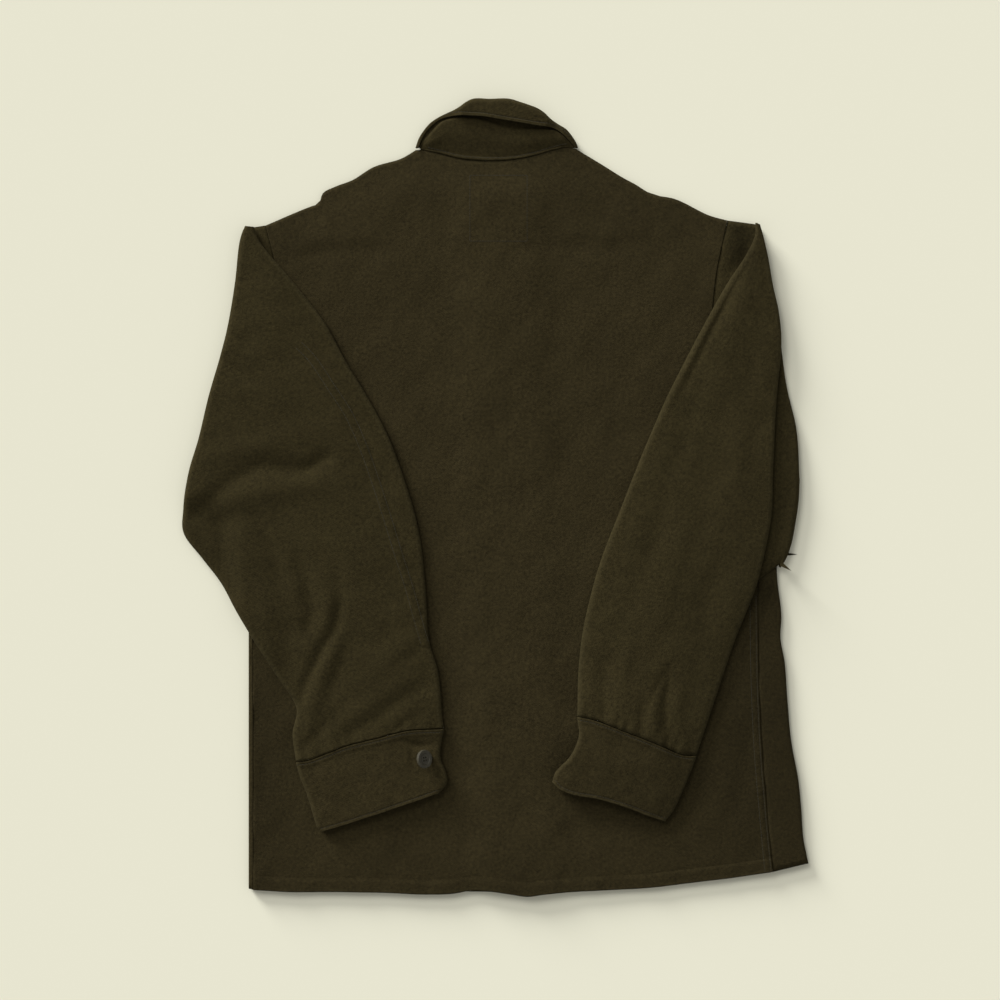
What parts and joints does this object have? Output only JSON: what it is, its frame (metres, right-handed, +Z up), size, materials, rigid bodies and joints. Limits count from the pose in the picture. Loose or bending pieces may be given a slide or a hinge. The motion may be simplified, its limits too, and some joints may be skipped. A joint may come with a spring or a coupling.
{
  "type": "military field shirt",
  "caption": "Long-sleeved wool field shirt laid flat face down, back up, both sleeves folded over the back, convertible collar with its edge rolled over, buttoned cuffs.",
  "frame": {"origin": "middle of the laid shirt's bounding box, on the surface it lies on", "axes": "+Y from the hem to the collar, +Z up out of the back, +X to the wearer's right"},
  "size_m": [0.6251, 0.7976, 0.0283],
  "materials": {
    "wool": "napped",
    "button": "satin"
  },
  "bodies": {
    "root": {"back": "wool", "front_left": "wool", "front_right": "wool", "sleeve_left": "wool", "sleeve_left_head": "wool", "sleeve_right": "wool", "sleeve_right_head": "wool", "cuff_left": "wool", "cuff_right": "wool", "collar": "wool", "collar_front": "wool", "cuff_button_left": "button", "cuff_button_right": "button", "front_button_1": "button", "front_button_2": "button", "front_button_3": "button", "front_button_4": "button", "front_button_5": "button", "front_button_6": "button"}
  },
  "joints": []
}
